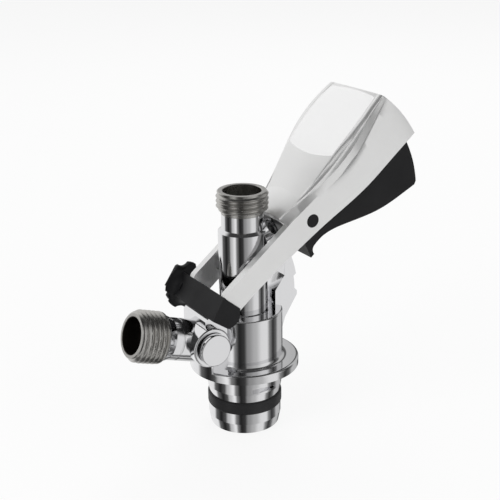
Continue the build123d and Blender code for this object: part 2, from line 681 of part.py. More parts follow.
# ================================================================ gas inlet
gas_profile = Plane(
    origin=gas_origin,
    x_dir=Vector(sin(radians(GAS_TILT)), 0, cos(radians(GAS_TILT))),
    z_dir=Vector(0, -1, 0),
)
gas_axis = Axis(gas_origin, gas_dir)
gas_joint_s = GAS_SHOULDER_S + GAS_WASHER_T + 2 * RUNNING_FIT
valve_rim_r = GAS_BORE_R - RUNNING_FIT

with BuildPart() as inlet_washer:
    with BuildSketch(gas_plane(GAS_SHOULDER_S + RUNNING_FIT)):
        Circle(GAS_TUBE_R - 0.15)
        Circle(GAS_SPIGOT_R + RUNNING_FIT, mode=Mode.SUBTRACT)
    extrude(amount=GAS_WASHER_T)
inlet_washer.part.label = "inlet_washer"
export_step(inlet_washer.part, "parts/inlet_washer.step")

with BuildPart() as inlet_tail:
    with BuildSketch(gas_profile):
        with BuildLine():
            Polyline(
                (GAS_TAIL_BORE_R, GAS_SHOULDER_S - GAS_SPIGOT_L),
                (GAS_SPIGOT_R, GAS_SHOULDER_S - GAS_SPIGOT_L),
                (GAS_SPIGOT_R, gas_joint_s),
                (GAS_TUBE_R, gas_joint_s),
                (GAS_TUBE_R, GAS_TAPER_S),
                (GAS_TAPER_R, GAS_THREAD_S - THREAD_R + GAS_TAPER_R),
                (THREAD_R, GAS_THREAD_S),
                (THREAD_R, GAS_END_S - GAS_CHAMFER),
                (THREAD_R - GAS_CHAMFER, GAS_END_S),
                (GAS_BORE_R, GAS_END_S),
                (GAS_BORE_R, VALVE_S),
                (GAS_TAIL_BORE_R, VALVE_S),
                (GAS_TAIL_BORE_R, GAS_SHOULDER_S - GAS_SPIGOT_L),
            )
        make_face()
    revolve(axis=gas_axis)
inlet_tail.part.label = "inlet_tail"
export_step(inlet_tail.part, "parts/inlet_tail.step")

with BuildPart() as inlet_valve:
    # duckbill: a rim on the seat and a closed bill pointing inwards
    with BuildSketch(gas_plane(VALVE_S + RUNNING_FIT)):
        Circle(valve_rim_r)
    extrude(amount=VALVE_RIM_H)
    with BuildSketch(gas_plane(VALVE_S + RUNNING_FIT)):
        Circle(VALVE_BODY_R)
    with BuildSketch(gas_plane(VALVE_S - VALVE_BODY_L)):
        Rectangle(2 * VALVE_BODY_R * 0.9, 2 * VALVE_WALL)
    loft()
    with BuildSketch(gas_plane(VALVE_S + VALVE_RIM_H + 1)):
        Circle(VALVE_BODY_R - VALVE_WALL)
    with BuildSketch(gas_plane(VALVE_S - VALVE_BODY_L + VALVE_WALL)):
        Rectangle(2 * VALVE_BODY_R * 0.9 - 2 * VALVE_WALL, VALVE_WALL * 0.5)
    loft(mode=Mode.SUBTRACT)
inlet_valve.part.label = "inlet_valve"
export_step(inlet_valve.part, "parts/inlet_valve.step")

with BuildPart() as inlet_ring:
    with BuildSketch(gas_plane(VALVE_S + VALVE_RIM_H + 2 * RUNNING_FIT)):
        Circle(valve_rim_r)
        Circle(valve_rim_r - CLIP_RING_W, mode=Mode.SUBTRACT)
    extrude(amount=CLIP_RING_H)
inlet_ring.part.label = "inlet_ring"
export_step(inlet_ring.part, "parts/inlet_ring.step")

# ================================================================ relief valve
disc_y = RELIEF_SEAT_Y - RUNNING_FIT
poppet_y = disc_y - RELIEF_DISC_H
spring_y = poppet_y - RELIEF_POPPET_H
bush_y = RELIEF_BOSS_Y + RELIEF_BUSH_H
cap_back_y = RELIEF_CAP_FACE_Y + RELIEF_CAP_H

with BuildPart() as relief_disc:
    with BuildSketch(relief_plane(disc_y)):
        Circle(RELIEF_POPPET_R - 0.2)
    extrude(amount=RELIEF_DISC_H)
relief_disc.part.label = "relief_disc"
export_step(relief_disc.part, "parts/relief_disc.step")

with BuildPart() as relief_stem:
    with BuildSketch(relief_plane(poppet_y)):
        Circle(RELIEF_POPPET_R)
    extrude(amount=RELIEF_POPPET_H)
    with BuildSketch(relief_plane(poppet_y)):
        Circle(RELIEF_STEM_R)
    extrude(amount=poppet_y - cap_back_y + RELIEF_CAP_H * 0.5)
relief_stem.part.label = "relief_stem"
export_step(relief_stem.part, "parts/relief_stem.step")

with BuildPart() as relief_spring:
    with BuildSketch(relief_plane(spring_y)):
        Circle(RELIEF_SPRING_R)
        Circle(RELIEF_SPRING_R - RELIEF_SPRING_T, mode=Mode.SUBTRACT)
    extrude(amount=spring_y - bush_y - RELIEF_TRAVEL - SLIDING_GAP)
relief_spring.part.label = "relief_spring"
export_step(relief_spring.part, "parts/relief_spring.step")

with BuildPart() as relief_bush:
    with BuildSketch(relief_plane(bush_y)):
        Circle(RELIEF_CAVITY_R - RUNNING_FIT)
        Circle(RELIEF_STEM_R + SLIDING_GAP, mode=Mode.SUBTRACT)
    extrude(amount=RELIEF_BUSH_H)
relief_bush.part.label = "relief_bush"
export_step(relief_bush.part, "parts/relief_bush.step")

with BuildPart() as relief_cap:
    with BuildSketch(relief_plane(cap_back_y)):
        Circle(RELIEF_CAP_R)
    extrude(amount=RELIEF_CAP_H)
    fillet(relief_cap.edges().group_by(Axis.Y)[0], 0.5)
    with BuildSketch(relief_plane(cap_back_y)):
        Circle(RELIEF_STEM_R + RUNNING_FIT)
    extrude(amount=RELIEF_CAP_H * 0.5 + RUNNING_FIT, mode=Mode.SUBTRACT)
relief_cap.part.label = "relief_cap"
export_step(relief_cap.part, "parts/relief_cap.step")

# ================================================================ lever
clip_normal = (-sin(radians(CLIP_FACE_TILT)), cos(radians(CLIP_FACE_TILT)))
clip_along = (cos(radians(CLIP_FACE_TILT)), sin(radians(CLIP_FACE_TILT)))


def clip_point(distance, along):
    """Point in lever axes, at a distance from the hinge square to the clip's face and along it."""
    return (
        clip_normal[0] * distance + clip_along[0] * along,
        clip_normal[1] * distance + clip_along[1] * along,
    )


def polar(radius, angle, centre=(0, 0)):
    """Point on a circle, angle in degrees."""
    return (centre[0] + radius * cos(radians(angle)), centre[1] + radius * sin(radians(angle)))


def cross_plane(u):
    """Plane square to the arms: local x is sideways, local y is v."""
    return Plane(origin=hinge + lever_axis * u, x_dir=Vector(0, 1, 0), z_dir=lever_axis)


arm_end_dist = CLIP_FACE_DIST - CLIP_WALL - ARM_END_CLEAR
arm_end_half = sqrt(ARM_END_R**2 - arm_end_dist**2)
arm_top_u = (arm_end_dist - clip_normal[1] * ARM_TOP_V) / clip_normal[0]
pivot = (PIVOT_U, PIVOT_V)
slot_near_r = -HINGE_X / cos(radians(LEVER_ANGLE + TRUNNION_ANGLE))
slot_far_r = -HINGE_X / cos(radians(LEVER_ANGLE + TRUNNION_ANGLE - LEVER_TRAVEL))
slot_half_w = TRUNNION_PIN_R + SLOT_CLEARANCE

shell_sections = SHELL_SECTIONS + [(PIVOT_U + lever_end_r + SHELL_LAST[0],) + SHELL_LAST[1:]]


def hollow_half_w(u, flare):
    """Half width inside the shell's side walls."""
    return arm_inner if flare == 0 else arm_half_w + flare - SHELL_WALL - SHELL_TAPER / u


with BuildPart(mode=Mode.PRIVATE) as shell_skin:
    for u, ridge_w, ridge_v, flare, crease_v in shell_sections:
        panel_w = arm_half_w + flare
        with BuildSketch(cross_plane(u)):
            with BuildLine():
                ThreePointArc((-ridge_w, ridge_v), (0, ridge_v + ROOF_CROWN), (ridge_w, ridge_v))
                Line((ridge_w, ridge_v), (ridge_w - 0.1, ridge_v - RIDGE_LIP))
                Line((ridge_w - 0.1, ridge_v - RIDGE_LIP), (panel_w, crease_v))
                Line((panel_w, crease_v), (panel_w, SHELL_FOOT_V))
                Line((panel_w, SHELL_FOOT_V), (-panel_w, SHELL_FOOT_V))
                Line((-panel_w, SHELL_FOOT_V), (-panel_w, crease_v))
                Line((-panel_w, crease_v), (0.1 - ridge_w, ridge_v - RIDGE_LIP))
                Line((0.1 - ridge_w, ridge_v - RIDGE_LIP), (-ridge_w, ridge_v))
            make_face()
    loft()

with BuildPart(mode=Mode.PRIVATE) as shell_hollow:
    for u, ridge_w, ridge_v, flare, crease_v in shell_sections:
        inner_w = hollow_half_w(u, flare)
        top_w = min(ridge_w - ROOF_THICK, inner_w - 0.6)
        with BuildSketch(cross_plane(u)):
            Polygon(
                (-top_w, ridge_v - ROOF_THICK),
                (top_w, ridge_v - ROOF_THICK),
                (inner_w, crease_v - 1.6),
                (inner_w, SHELL_FOOT_V - 2),
                (-inner_w, SHELL_FOOT_V - 2),
                (-inner_w, crease_v - 1.6),
                align=None,
            )
    loft(ruled=True)
    # the hollow is open at the front and stops at the end wall
    first = shell_sections[0]
    with BuildSketch(cross_plane(first[0])):
        Polygon(
            (-first[1] + ROOF_THICK, first[2] - ROOF_THICK),
            (first[1] - ROOF_THICK, first[2] - ROOF_THICK),
            (arm_inner, first[4] - 1.6),
            (arm_inner, SHELL_FOOT_V - 2),
            (-arm_inner, SHELL_FOOT_V - 2),
            (-arm_inner, first[4] - 1.6),
            align=None,
        )
    extrude(amount=-3)
    with BuildSketch(lever_side):
        with Locations(pivot):
            Circle(lever_end_r - SHELL_WALL)
    extrude(amount=CUT_REACH, both=True, mode=Mode.INTERSECT)

with BuildPart(mode=Mode.PRIVATE) as label_prism:
    label_w0 = shell_sections[4][1] - LABEL_MARGIN
    label_w1 = shell_sections[6][1] - LABEL_MARGIN
    label_w = label_w0 - LABEL_END_IN
    label_u = (LABEL_U0 + LABEL_U1) / 2
    with BuildSketch(lever_plan.offset(LABEL_BASE_V)):
        with BuildLine():
            front = ThreePointArc((LABEL_U0, -label_w), (LABEL_U0 - LABEL_FRONT_BOW, 0), (LABEL_U0, label_w))
            far = ThreePointArc(front @ 1, (label_u, label_w0 + LABEL_SIDE_BOW), (LABEL_U1, label_w1))
            end = ThreePointArc(far @ 1, (LABEL_U1 + LABEL_END_BOW, 0), (LABEL_U1, -label_w1))
            ThreePointArc(end @ 1, (label_u, -label_w0 - LABEL_SIDE_BOW), front @ 0)
        make_face()
    extrude(amount=CUT_REACH)
    corner_edges = label_prism.edges().filter_by(lambda e: abs(e.tangent_at(0.5).dot(lever_up)) > 0.99)
    fillet(corner_edges, LABEL_CORNER_R)

with BuildPart(mode=Mode.PRIVATE) as label_recess:
    add(label_prism.part)
    add(shell_skin.part.moved(Location(lever_up * -LABEL_DEPTH)), mode=Mode.SUBTRACT)

with BuildPart() as lever:
    # shell: loft cut to the end arc
    add(shell_skin.part)
    with BuildSketch(lever_side):
        with Locations(pivot):
            Circle(lever_end_r)
    extrude(amount=CUT_REACH, both=True, mode=Mode.INTERSECT)
    add(shell_hollow.part, mode=Mode.SUBTRACT)
    # arms
    for side in (-1, 1):
        with BuildSketch(lever_side.offset(side * arm_inner if side > 0 else -arm_half_w)):
            with BuildLine():
                top = Line((shell_sections[1][0] + ARM_ROOT_L, ARM_TOP_V), (arm_top_u, ARM_TOP_V))
                slant = Line(top @ 1, clip_point(arm_end_dist, -arm_end_half))
                tail = ThreePointArc(slant @ 1, polar(ARM_END_R, 205), polar(ARM_END_R, -52))
                Polyline(tail @ 1, ARM_LOWER[0], (shell_sections[1][0] + ARM_ROOT_L, SHELL_FOOT_V), top @ 0)
            make_face()
        extrude(amount=ARM_THICK)
    # lower edge of arms and shell
    with BuildSketch(lever_side):
        with BuildLine():
            low = Spline(*ARM_LOWER)
            Polyline(low @ 1, (ARM_LOWER[-1][0], -CUT_REACH), (ARM_LOWER[0][0], -CUT_REACH), low @ 0)
        make_face()
    extrude(amount=CUT_REACH, both=True, mode=Mode.SUBTRACT)
    # label recess
    add(label_recess.part, mode=Mode.SUBTRACT)
    # bores of the hinge pin and the trigger pin
    with BuildSketch(lever_side):
        Circle(HINGE_PIN_R + RUNNING_FIT)
        with Locations(pivot):
            Circle(TRIGGER_PIN_R + RUNNING_FIT)
    extrude(amount=CUT_REACH, both=True, mode=Mode.SUBTRACT)
    # blind slots for the trunnion pins
    for near in (True, False):
        with BuildSketch(lever_side.offset(arm_inner if near else -arm_inner - SLOT_DEPTH)):
            with Locations(polar((slot_near_r + slot_far_r) / 2, TRUNNION_ANGLE)):
                SlotCenterToCenter(
                    slot_near_r - slot_far_r + SLOT_CLEARANCE, 2 * slot_half_w, rotation=TRUNNION_ANGLE
                )
        extrude(amount=SLOT_DEPTH, mode=Mode.SUBTRACT)
lever.part.label = "lever"
export_step(lever.part, "parts/lever.step")

with BuildPart() as label_inset:
    add(label_prism.part)
    add(shell_skin.part.moved(Location(lever_up * -0.05)), mode=Mode.INTERSECT)
    add(shell_skin.part.moved(Location(lever_up * (RUNNING_FIT - LABEL_DEPTH))), mode=Mode.SUBTRACT)
label_inset.part.label = "label_inset"
export_step(label_inset.part, "parts/label_inset.step")

# ================================================================ hinge pin and bushes
with BuildPart() as hinge_pin:
    with BuildSketch(lever_side):
        Circle(HINGE_PIN_R)
    extrude(amount=arm_half_w - 0.1, both=True)
hinge_pin.part.label = "hinge_pin"
export_step(hinge_pin.part, "parts/hinge_pin.step")

with BuildPart() as hinge_bush_near:
    with BuildSketch(lever_side.offset(BRACKET_HALF_W + HINGE_BUSH_GAP)):
        Circle(HINGE_BUSH_R)
        Circle(HINGE_PIN_R + RUNNING_FIT, mode=Mode.SUBTRACT)
    extrude(amount=arm_inner - BRACKET_HALF_W - 1.5 * HINGE_BUSH_GAP)
hinge_bush_near.part.label = "hinge_bush_near"
export_step(hinge_bush_near.part, "parts/hinge_bush_near.step")

with BuildPart() as hinge_bush_far:
    mirror(hinge_bush_near.part, about=Plane.XZ)
hinge_bush_far.part.label = "hinge_bush_far"
export_step(hinge_bush_far.part, "parts/hinge_bush_far.step")

# ================================================================ trigger
with BuildPart(mode=Mode.PRIVATE) as blade_blank:
    with BuildSketch(lever_side):
        with BuildLine():
            nose = polar(EAR_ARC_R + NOSE_GAP, NOSE_ANGLE)
            heel = (nose[0] + NOSE_FACE[0], nose[1] + NOSE_FACE[1])
            Polyline(nose, heel, *BLADE_LOWER, *BLADE_UPPER, nose)
        make_face()
    extrude(amount=BLADE_HALF_T, both=True)

with BuildPart() as trigger_grip:
    with BuildSketch(lever_side):
        with BuildLine():
            finger = Spline(*GRIP_FINGER)
            heel_pt = polar(GRIP_END_R, GRIP_HEEL_ANGLE, pivot)
            shoulder_pt = polar(GRIP_END_R, degrees(asin(GRIP_SHOULDER / GRIP_END_R)), pivot)
            rear = ThreePointArc(heel_pt, polar(GRIP_END_R, GRIP_REAR_ANGLE, pivot), shoulder_pt)
            Line(finger @ 1, heel_pt)
            Line(rear @ 1, (PIVOT_U, GRIP_TOP_V))
            Polyline((PIVOT_U, GRIP_TOP_V), *GRIP_HOOK)
            ThreePointArc(GRIP_HOOK[-1], GRIP_HOOK_ROOT, finger @ 0)
        make_face()
    extrude(amount=CUT_REACH, both=True)
    # sides follow the inside of the lever
    with BuildSketch(lever_plan.offset(-CUT_REACH)):
        side_line = [(row[0], hollow_half_w(row[0], row[3]) - GRIP_SIDE_GAP) for row in shell_sections[1:]]
        outline = [(GRIP_FRONT_U, side_line[0][1] - GRIP_FRONT_TAPER)] + side_line
        Polygon(*outline, *[(u, -w) for u, w in reversed(outline)], align=None)
    extrude(amount=2 * CUT_REACH, mode=Mode.INTERSECT)
    # room for the blade, the coil spring and the pin
    with BuildSketch(lever_side):
        with BuildLine():
            Polyline(*BLADE_ROOM, BLADE_ROOM[0])
        make_face()
    extrude(amount=BLADE_HALF_T + RUNNING_FIT, both=True, mode=Mode.SUBTRACT)
    with BuildSketch(lever_side.offset(TRIGGER_SPRING_Y - SLIDING_GAP)):
        with Locations(pivot):
            Circle(TRIGGER_SPRING_R + SLIDING_GAP)
    extrude(amount=TRIGGER_SPRING_L + 2 * SLIDING_GAP, mode=Mode.SUBTRACT)
    with BuildSketch(lever_side):
        with Locations(pivot):
            Circle(TRIGGER_PIN_R + RUNNING_FIT)
    extrude(amount=CUT_REACH, both=True, mode=Mode.SUBTRACT)
trigger_grip.part.label = "trigger_grip"
export_step(trigger_grip.part, "parts/trigger_grip.step")

with BuildPart() as latch_blade:
    add(blade_blank.part)
    with BuildSketch(lever_side):
        with Locations(pivot):
            Circle(TRIGGER_PIN_R + RUNNING_FIT)
    extrude(amount=10, both=True, mode=Mode.SUBTRACT)
latch_blade.part.label = "latch_blade"
export_step(latch_blade.part, "parts/latch_blade.step")

with BuildPart() as trigger_pin:
    with BuildSketch(lever_side):
        with Locations(pivot):
            Circle(TRIGGER_PIN_R)
    extrude(amount=arm_half_w + TRIGGER_PIN_PROUD, both=True)
    chamfer(trigger_pin.edges().filter_by(GeomType.CIRCLE), 0.12)
trigger_pin.part.label = "trigger_pin"
export_step(trigger_pin.part, "parts/trigger_pin.step")

with BuildPart() as trigger_spring:
    with BuildSketch(lever_side.offset(TRIGGER_SPRING_Y)):
        with Locations(pivot):
            Circle(TRIGGER_SPRING_R)
            Circle(TRIGGER_PIN_R + SLIDING_GAP, mode=Mode.SUBTRACT)
    extrude(amount=TRIGGER_SPRING_L)
trigger_spring.part.label = "trigger_spring"
export_step(trigger_spring.part, "parts/trigger_spring.step")

# ================================================================ end clip
with BuildPart() as end_clip:
    # front wall across both arms
    knob_y0 = arm_half_w + KNOB_STAND
    knob_y1 = knob_y0 + KNOB_T
    with BuildSketch(lever_side.offset(-arm_half_w - CLIP_REACH)):
        with BuildLine():
            Polyline(
                clip_point(CLIP_FACE_DIST, CLIP_FACE_UP),
                clip_point(CLIP_FACE_DIST, -CLIP_FACE_DOWN),
                clip_point(CLIP_FACE_DIST - CLIP_WALL, -CLIP_FACE_DOWN),
                clip_point(CLIP_FACE_DIST - CLIP_WALL, CLIP_FACE_UP),
                clip_point(CLIP_FACE_DIST, CLIP_FACE_UP),
            )
        make_face()
    extrude(amount=2 * arm_half_w + CLIP_REACH + CLIP_CHEEK)
    # cheeks outside the arms
    for near in (True, False):
        with BuildSketch(lever_side.offset(arm_half_w + RUNNING_FIT if near else -arm_half_w - CLIP_CHEEK)):
            with BuildLine():
                face = Line(clip_point(CLIP_FACE_DIST, -CLIP_FACE_DOWN), clip_point(CLIP_FACE_DIST, CLIP_FACE_UP))
                edge = Polyline(face @ 1, CLIP_HEEL, polar(CLIP_CHEEK_R, -63))
                ThreePointArc(edge @ 1, polar(CLIP_CHEEK_R, -95), polar(CLIP_CHEEK_R, -129))
                Line(polar(CLIP_CHEEK_R, -129), face @ 0)
            make_face()
        extrude(amount=CLIP_CHEEK - RUNNING_FIT)
    # neck and lobed knob on the far side
    with BuildSketch(lever_plan):
        with BuildLine():
            root_y = arm_half_w + CLIP_CHEEK - 0.1
            flare = ThreePointArc((CLIP_CHEEK_R - 0.4, root_y), (CLIP_CHEEK_R + 0.5, root_y + 3), (KNOB_R, knob_y0))
            Polyline(flare @ 1, (KNOB_R, knob_y1 - KNOB_EDGE), (KNOB_R - KNOB_EDGE, knob_y1), (0, knob_y1),
                     (0, root_y), flare @ 0)
        make_face()
    revolve(axis=Axis(hinge, (0, 1, 0)))
    with BuildSketch(lever_side.offset(-knob_y1 - 1)):
        for angle in KNOB_SCALLOPS:
            with Locations(polar(KNOB_R + KNOB_SCALLOP_R - KNOB_SCALLOP_DEPTH, angle - LEVER_ANGLE)):
                Circle(KNOB_SCALLOP_R)
    extrude(amount=KNOB_T + 3.4, mode=Mode.SUBTRACT)
end_clip.part.label = "end_clip"
export_step(end_clip.part, "parts/end_clip.step")
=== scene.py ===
import math

import bmesh
import bpy
import numpy as np
from mathutils import Matrix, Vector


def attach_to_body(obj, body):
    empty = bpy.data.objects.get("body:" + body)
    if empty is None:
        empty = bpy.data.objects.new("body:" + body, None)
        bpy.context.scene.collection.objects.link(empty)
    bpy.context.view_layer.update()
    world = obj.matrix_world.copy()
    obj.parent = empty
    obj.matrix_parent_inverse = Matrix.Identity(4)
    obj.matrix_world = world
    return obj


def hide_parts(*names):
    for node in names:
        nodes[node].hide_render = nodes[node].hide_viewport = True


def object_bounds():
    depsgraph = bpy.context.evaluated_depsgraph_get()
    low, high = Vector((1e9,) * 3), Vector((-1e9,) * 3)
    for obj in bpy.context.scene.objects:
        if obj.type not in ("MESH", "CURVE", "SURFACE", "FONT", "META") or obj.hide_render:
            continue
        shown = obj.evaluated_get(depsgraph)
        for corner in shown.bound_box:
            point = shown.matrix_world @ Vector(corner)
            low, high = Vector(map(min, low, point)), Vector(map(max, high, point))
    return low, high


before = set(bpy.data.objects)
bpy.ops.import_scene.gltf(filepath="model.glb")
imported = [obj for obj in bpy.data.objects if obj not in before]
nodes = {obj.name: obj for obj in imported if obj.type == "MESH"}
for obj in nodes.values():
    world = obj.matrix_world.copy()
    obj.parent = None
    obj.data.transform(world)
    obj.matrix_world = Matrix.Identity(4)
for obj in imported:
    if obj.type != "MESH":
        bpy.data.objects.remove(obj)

cad_low, cad_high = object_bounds()
MM = 0.001

# ---- Coupler body -------------------------------------------------------------------------
# One brass forging, turned on the neck, flange and barrel, then plated with bright chrome.
# Turned faces keep a trace of the tool; handled faces carry large soft smears.


def add_nodes(tree, spec):
    """Nodes by name from {name: (type, {property, input name or input number: value})}."""
    made = {}
    for name, (kind, values) in spec.items():
        node = tree.nodes.new(kind)
        node.name = name
        for key, value in values.items():
            if isinstance(key, str) and hasattr(node, key):
                setattr(node, key, value)
            else:
                node.inputs[key].default_value = value
        made[name] = node
    return made


def join(tree, *links):
    """Links given as (from node, output, to node, input)."""
    for source, output, target, into in links:
        tree.links.new(source.outputs[output], target.inputs[into])


def effect_group(name, inputs, outputs):
    """Empty shader node group with a vector, float inputs {name: default} and float outputs."""
    group = bpy.data.node_groups.new(name, "ShaderNodeTree")
    group.interface.new_socket("Vector", in_out="INPUT", socket_type="NodeSocketVector")
    for key, value in inputs.items():
        socket = group.interface.new_socket(key, in_out="INPUT", socket_type="NodeSocketFloat")
        socket.default_value = value
    for key in outputs:
        group.interface.new_socket(key, in_out="OUTPUT", socket_type="NodeSocketFloat")
    ends = add_nodes(group, {"In": ("NodeGroupInput", {}), "Out": ("NodeGroupOutput", {})})
    return group, ends["In"], ends["Out"]


# Smears: large soft patches where hands and cloths have been, as a roughness between two limits.
smears, start, end = effect_group("smears", {"Size": 60.0, "Low": 0.05, "High": 0.15}, ["Roughness"])
made = add_nodes(smears, {
    "soft": ("ShaderNodeTexNoise", {"Detail": 5.0, "Roughness": 0.55}),
    "span": ("ShaderNodeMapRange", {"From Min": 0.3, "From Max": 0.7}),
})
join(smears,
     (start, "Vector", made["soft"], "Vector"), (start, "Size", made["soft"], "Scale"),
     (made["soft"], "Fac", made["span"], "Value"), (start, "Low", made["span"], "To Min"),
     (start, "High", made["span"], "To Max"), (made["span"], "Result", end, "Roughness"))

# Grain: fine even texture, put out as a height.
grain, start, end = effect_group("grain", {"Size": 900.0}, ["Height"])
made = add_nodes(grain, {"fine": ("ShaderNodeTexNoise", {"Detail": 3.0, "Roughness": 0.6})})
join(grain,
     (start, "Vector", made["fine"], "Vector"), (start, "Size", made["fine"], "Scale"),
     (made["fine"], "Fac", end, "Height"))

# Tool rings: the trace of a lathe tool along the local Z axis, with uneven depth.
rings, start, end = effect_group("tool_rings", {"Pitch": 2500.0}, ["Height"])
made = add_nodes(rings, {
    "stretch": ("ShaderNodeMapping", {"Scale": (0.02, 0.02, 1.0)}),
    "lines": ("ShaderNodeTexNoise", {"Detail": 2.0, "Roughness": 0.5}),
})
join(rings,
     (start, "Vector", made["stretch"], "Vector"), (made["stretch"], "Vector", made["lines"], "Vector"),
     (start, "Pitch", made["lines"], "Scale"), (made["lines"], "Fac", end, "Height"))

NO_TURN = (0.0, 0.0, 0.0)
BUMP_DISTANCE = 0.0001


def finish(name, color, metallic, smear, relief, tilt=NO_TURN, coat=0.0):
    """Material of one surface, read in the piece's own axes.

    smear is (size, lowest, highest roughness); relief is (effect group, its value, bump strength).
    """
    size, lowest, highest = smear
    relief_group, relief_value, strength = relief
    mat = bpy.data.materials.new(name)
    mat.use_nodes = True
    tree = mat.node_tree
    shader = tree.nodes["Principled BSDF"]
    shader.inputs["Base Color"].default_value = (*color, 1.0)
    shader.inputs["Metallic"].default_value = metallic
    shader.inputs["Coat Weight"].default_value = coat
    made = add_nodes(tree, {
        "place": ("ShaderNodeTexCoord", {}),
        "turn": ("ShaderNodeMapping", {"Rotation": tilt}),
        "smears": ("ShaderNodeGroup", {"node_tree": smears, "Size": size, "Low": lowest, "High": highest}),
        "relief": ("ShaderNodeGroup", {"node_tree": relief_group, 1: relief_value}),
        "bump": ("ShaderNodeBump", {"Strength": strength, "Distance": BUMP_DISTANCE}),
    })
    join(tree,
         (made["place"], "Object", made["turn"], "Vector"), (made["turn"], "Vector", made["smears"], "Vector"),
         (made["turn"], "Vector", made["relief"], "Vector"), (made["smears"], "Roughness", shader, "Roughness"),
         (made["relief"], "Height", made["bump"], "Height"), (made["bump"], "Normal", shader, "Normal"))
    return mat


def dress(mat, *names):
    """CAD nodes take a material in every slot."""
    for name in names:
        mesh = nodes[name].data
        mesh.materials.clear()
        mesh.materials.append(mat)


body_chrome = finish("body_chrome", (0.80, 0.80, 0.81), 1.0, (45.0, 0.06, 0.13), (rings, 2600.0, 0.10))
dress(body_chrome, "coupler_body")

# ---- Seals of the body --------------------------------------------------------------------
# Black rubber rings, moulded, pressed into turned grooves: one round the neck, which seals to
# the keg, and one inside the barrel, which wipes the probe.

rubber = finish("rubber", (0.012, 0.012, 0.013), 0.0, (120.0, 0.45, 0.62), (grain, 1600.0, 0.25))
dress(rubber, "neck_seal", "guide_seal")

# ---- Gas inlet ----------------------------------------------------------------------------
# Turned brass tail, chrome plated, screwed into the body on a soft metal washer.  Its pipe thread
# is rolled, with rounded crests that run out under a wide end chamfer; the bore is left dull and
# painted near black, which is painted shade for the dark inside of the bore.


def shaded(name, mesh, sharp):
    """Object with this mesh, smooth except at edges sharper than the angle in radians."""
    mesh.validate()
    mesh.polygons.foreach_set("use_smooth", np.ones(len(mesh.polygons), dtype=bool))
    mesh.set_sharp_from_angle(angle=sharp)
    piece = bpy.data.objects.new(name, mesh)
    bpy.context.collection.objects.link(piece)
    return piece


def grid_piece(name, points, wrap_rows=False, wrap_columns=False, sharp=0.6):
    """Quad mesh from a grid of points (rows, columns, 3); a wrapped side joins last to first."""
    index = np.arange(points.shape[0] * points.shape[1]).reshape(points.shape[:2])
    if wrap_rows:
        index = np.concatenate([index, index[:1]])
    if wrap_columns:
        index = np.concatenate([index, index[:, :1]], axis=1)
    corners = [index[:-1, :-1], index[:-1, 1:], index[1:, 1:], index[1:, :-1]]
    mesh = bpy.data.meshes.new(name)
    mesh.from_pydata(points.reshape(-1, 3), [], np.stack(corners, axis=-1).reshape(-1, 4))
    return shaded(name, mesh, sharp)


THREAD_PITCH = 2.15 * MM
THREAD_DEPTH = 1.1 * MM
CREST_FLATNESS = 0.8    # below one, the hollows are wider than the crests
WALK_STEP = 0.15 * MM
TURN_STEPS = 128


def turned(name, profile, foot, ahead):
    """Closed turned piece: profile rows are (radius, distance, share of the thread depth) in mm.

    The profile is walked in small steps and swept once round the axis, which starts at foot and
    runs along ahead.  Where the share is above nought, the radius falls by share times depth times
    half of one plus the cosine of (2 pi distance / pitch minus turn), raised to the flatness, so
    the crests climb by one pitch per turn.
    """
    rows = np.array(profile + profile[:1]) * [MM, MM, 1.0]
    lengths = np.linalg.norm(np.diff(rows[:, :2], axis=0), axis=1)
    walk = np.concatenate([[0.0], np.cumsum(lengths)])
    steps = np.unique(np.concatenate([np.arange(0.0, walk[-1], WALK_STEP), walk]))[:-1]
    radius, along, share = (np.interp(steps, walk, rows[:, k]) for k in range(3))
    turn = np.linspace(0.0, 2 * np.pi, TURN_STEPS, endpoint=False)
    wave = 0.5 + 0.5 * np.cos(2 * np.pi * along[:, None] / THREAD_PITCH - turn[None, :])
    reach = radius[:, None] - THREAD_DEPTH * share[:, None] * wave ** CREST_FLATNESS
    across = np.cross([0.0, 1.0, 0.0], ahead)
    across /= np.linalg.norm(across)
    beside = np.cross(ahead, across)
    ring = np.cos(turn)[:, None] * across + np.sin(turn)[:, None] * beside
    points = foot + along[:, None, None] * ahead + reach[:, :, None] * ring[None, :, :]
    return grid_piece(name, points, wrap_rows=True, wrap_columns=True)


def attach(piece, body, mat, node=None):
    """A finished piece rides on a CAD body and may take the place of a CAD node."""
    piece.data.materials.append(mat)
    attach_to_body(piece, body)
    if node:
        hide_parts(node)


GAS_TILT = 17.9         # of the inlet above the level, in degrees
GAS_FOOT = np.array([0.0, 0.0, 37.0]) * MM
GAS_AHEAD = np.array([-math.cos(math.radians(GAS_TILT)), 0.0, math.sin(math.radians(GAS_TILT))])
GAS_THREAD_FROM = 45.2 * MM
GAS_BORE_FROM = 32.0 * MM
GAS_BORE_R = 8.25 * MM
inlet_chrome = finish("inlet_chrome", (0.78, 0.78, 0.79), 1.0, (50.0, 0.07, 0.15), (rings, 2600.0, 0.10),
                      tilt=(0.0, math.radians(90.0 - GAS_TILT), 0.0))
thread_metal = finish("thread_metal", (0.50, 0.49, 0.47), 1.0, (60.0, 0.22, 0.32), (grain, 1500.0, 0.12))
# The bore's near-black colour is painted shade: it stands for the shadow inside the bore, not the metal's own
# tone.
bore_painted_shade = finish("bore_painted_shade", (0.10, 0.09, 0.08), 1.0, (60.0, 0.35, 0.45), (grain, 1500.0, 0.10))
tail = turned("inlet_tail_threaded", [
    (5.6, 31.8, 0), (7.4, 31.8, 0), (7.4, 37.5, 0), (9.15, 37.5, 0), (9.27, 37.65, 0), (9.27, 41.0, 0),
    (10.5, 44.5, 0), (11.25, 45.3, 0), (11.4, 45.8, 0.3), (11.45, 46.4, 1), (11.45, 55.4, 1),
    (10.9, 56.7, 0.5), (9.85, 57.7, 0), (9.53, 58.0, 0), (8.3, 58.0, 0), (8.08, 57.8, 0),
    (8.08, 46.0, 0), (5.6, 46.0, 0)], GAS_FOOT, GAS_AHEAD)
attach(tail, "housing", inlet_chrome, node="inlet_tail")
tail.data.materials.append(thread_metal)
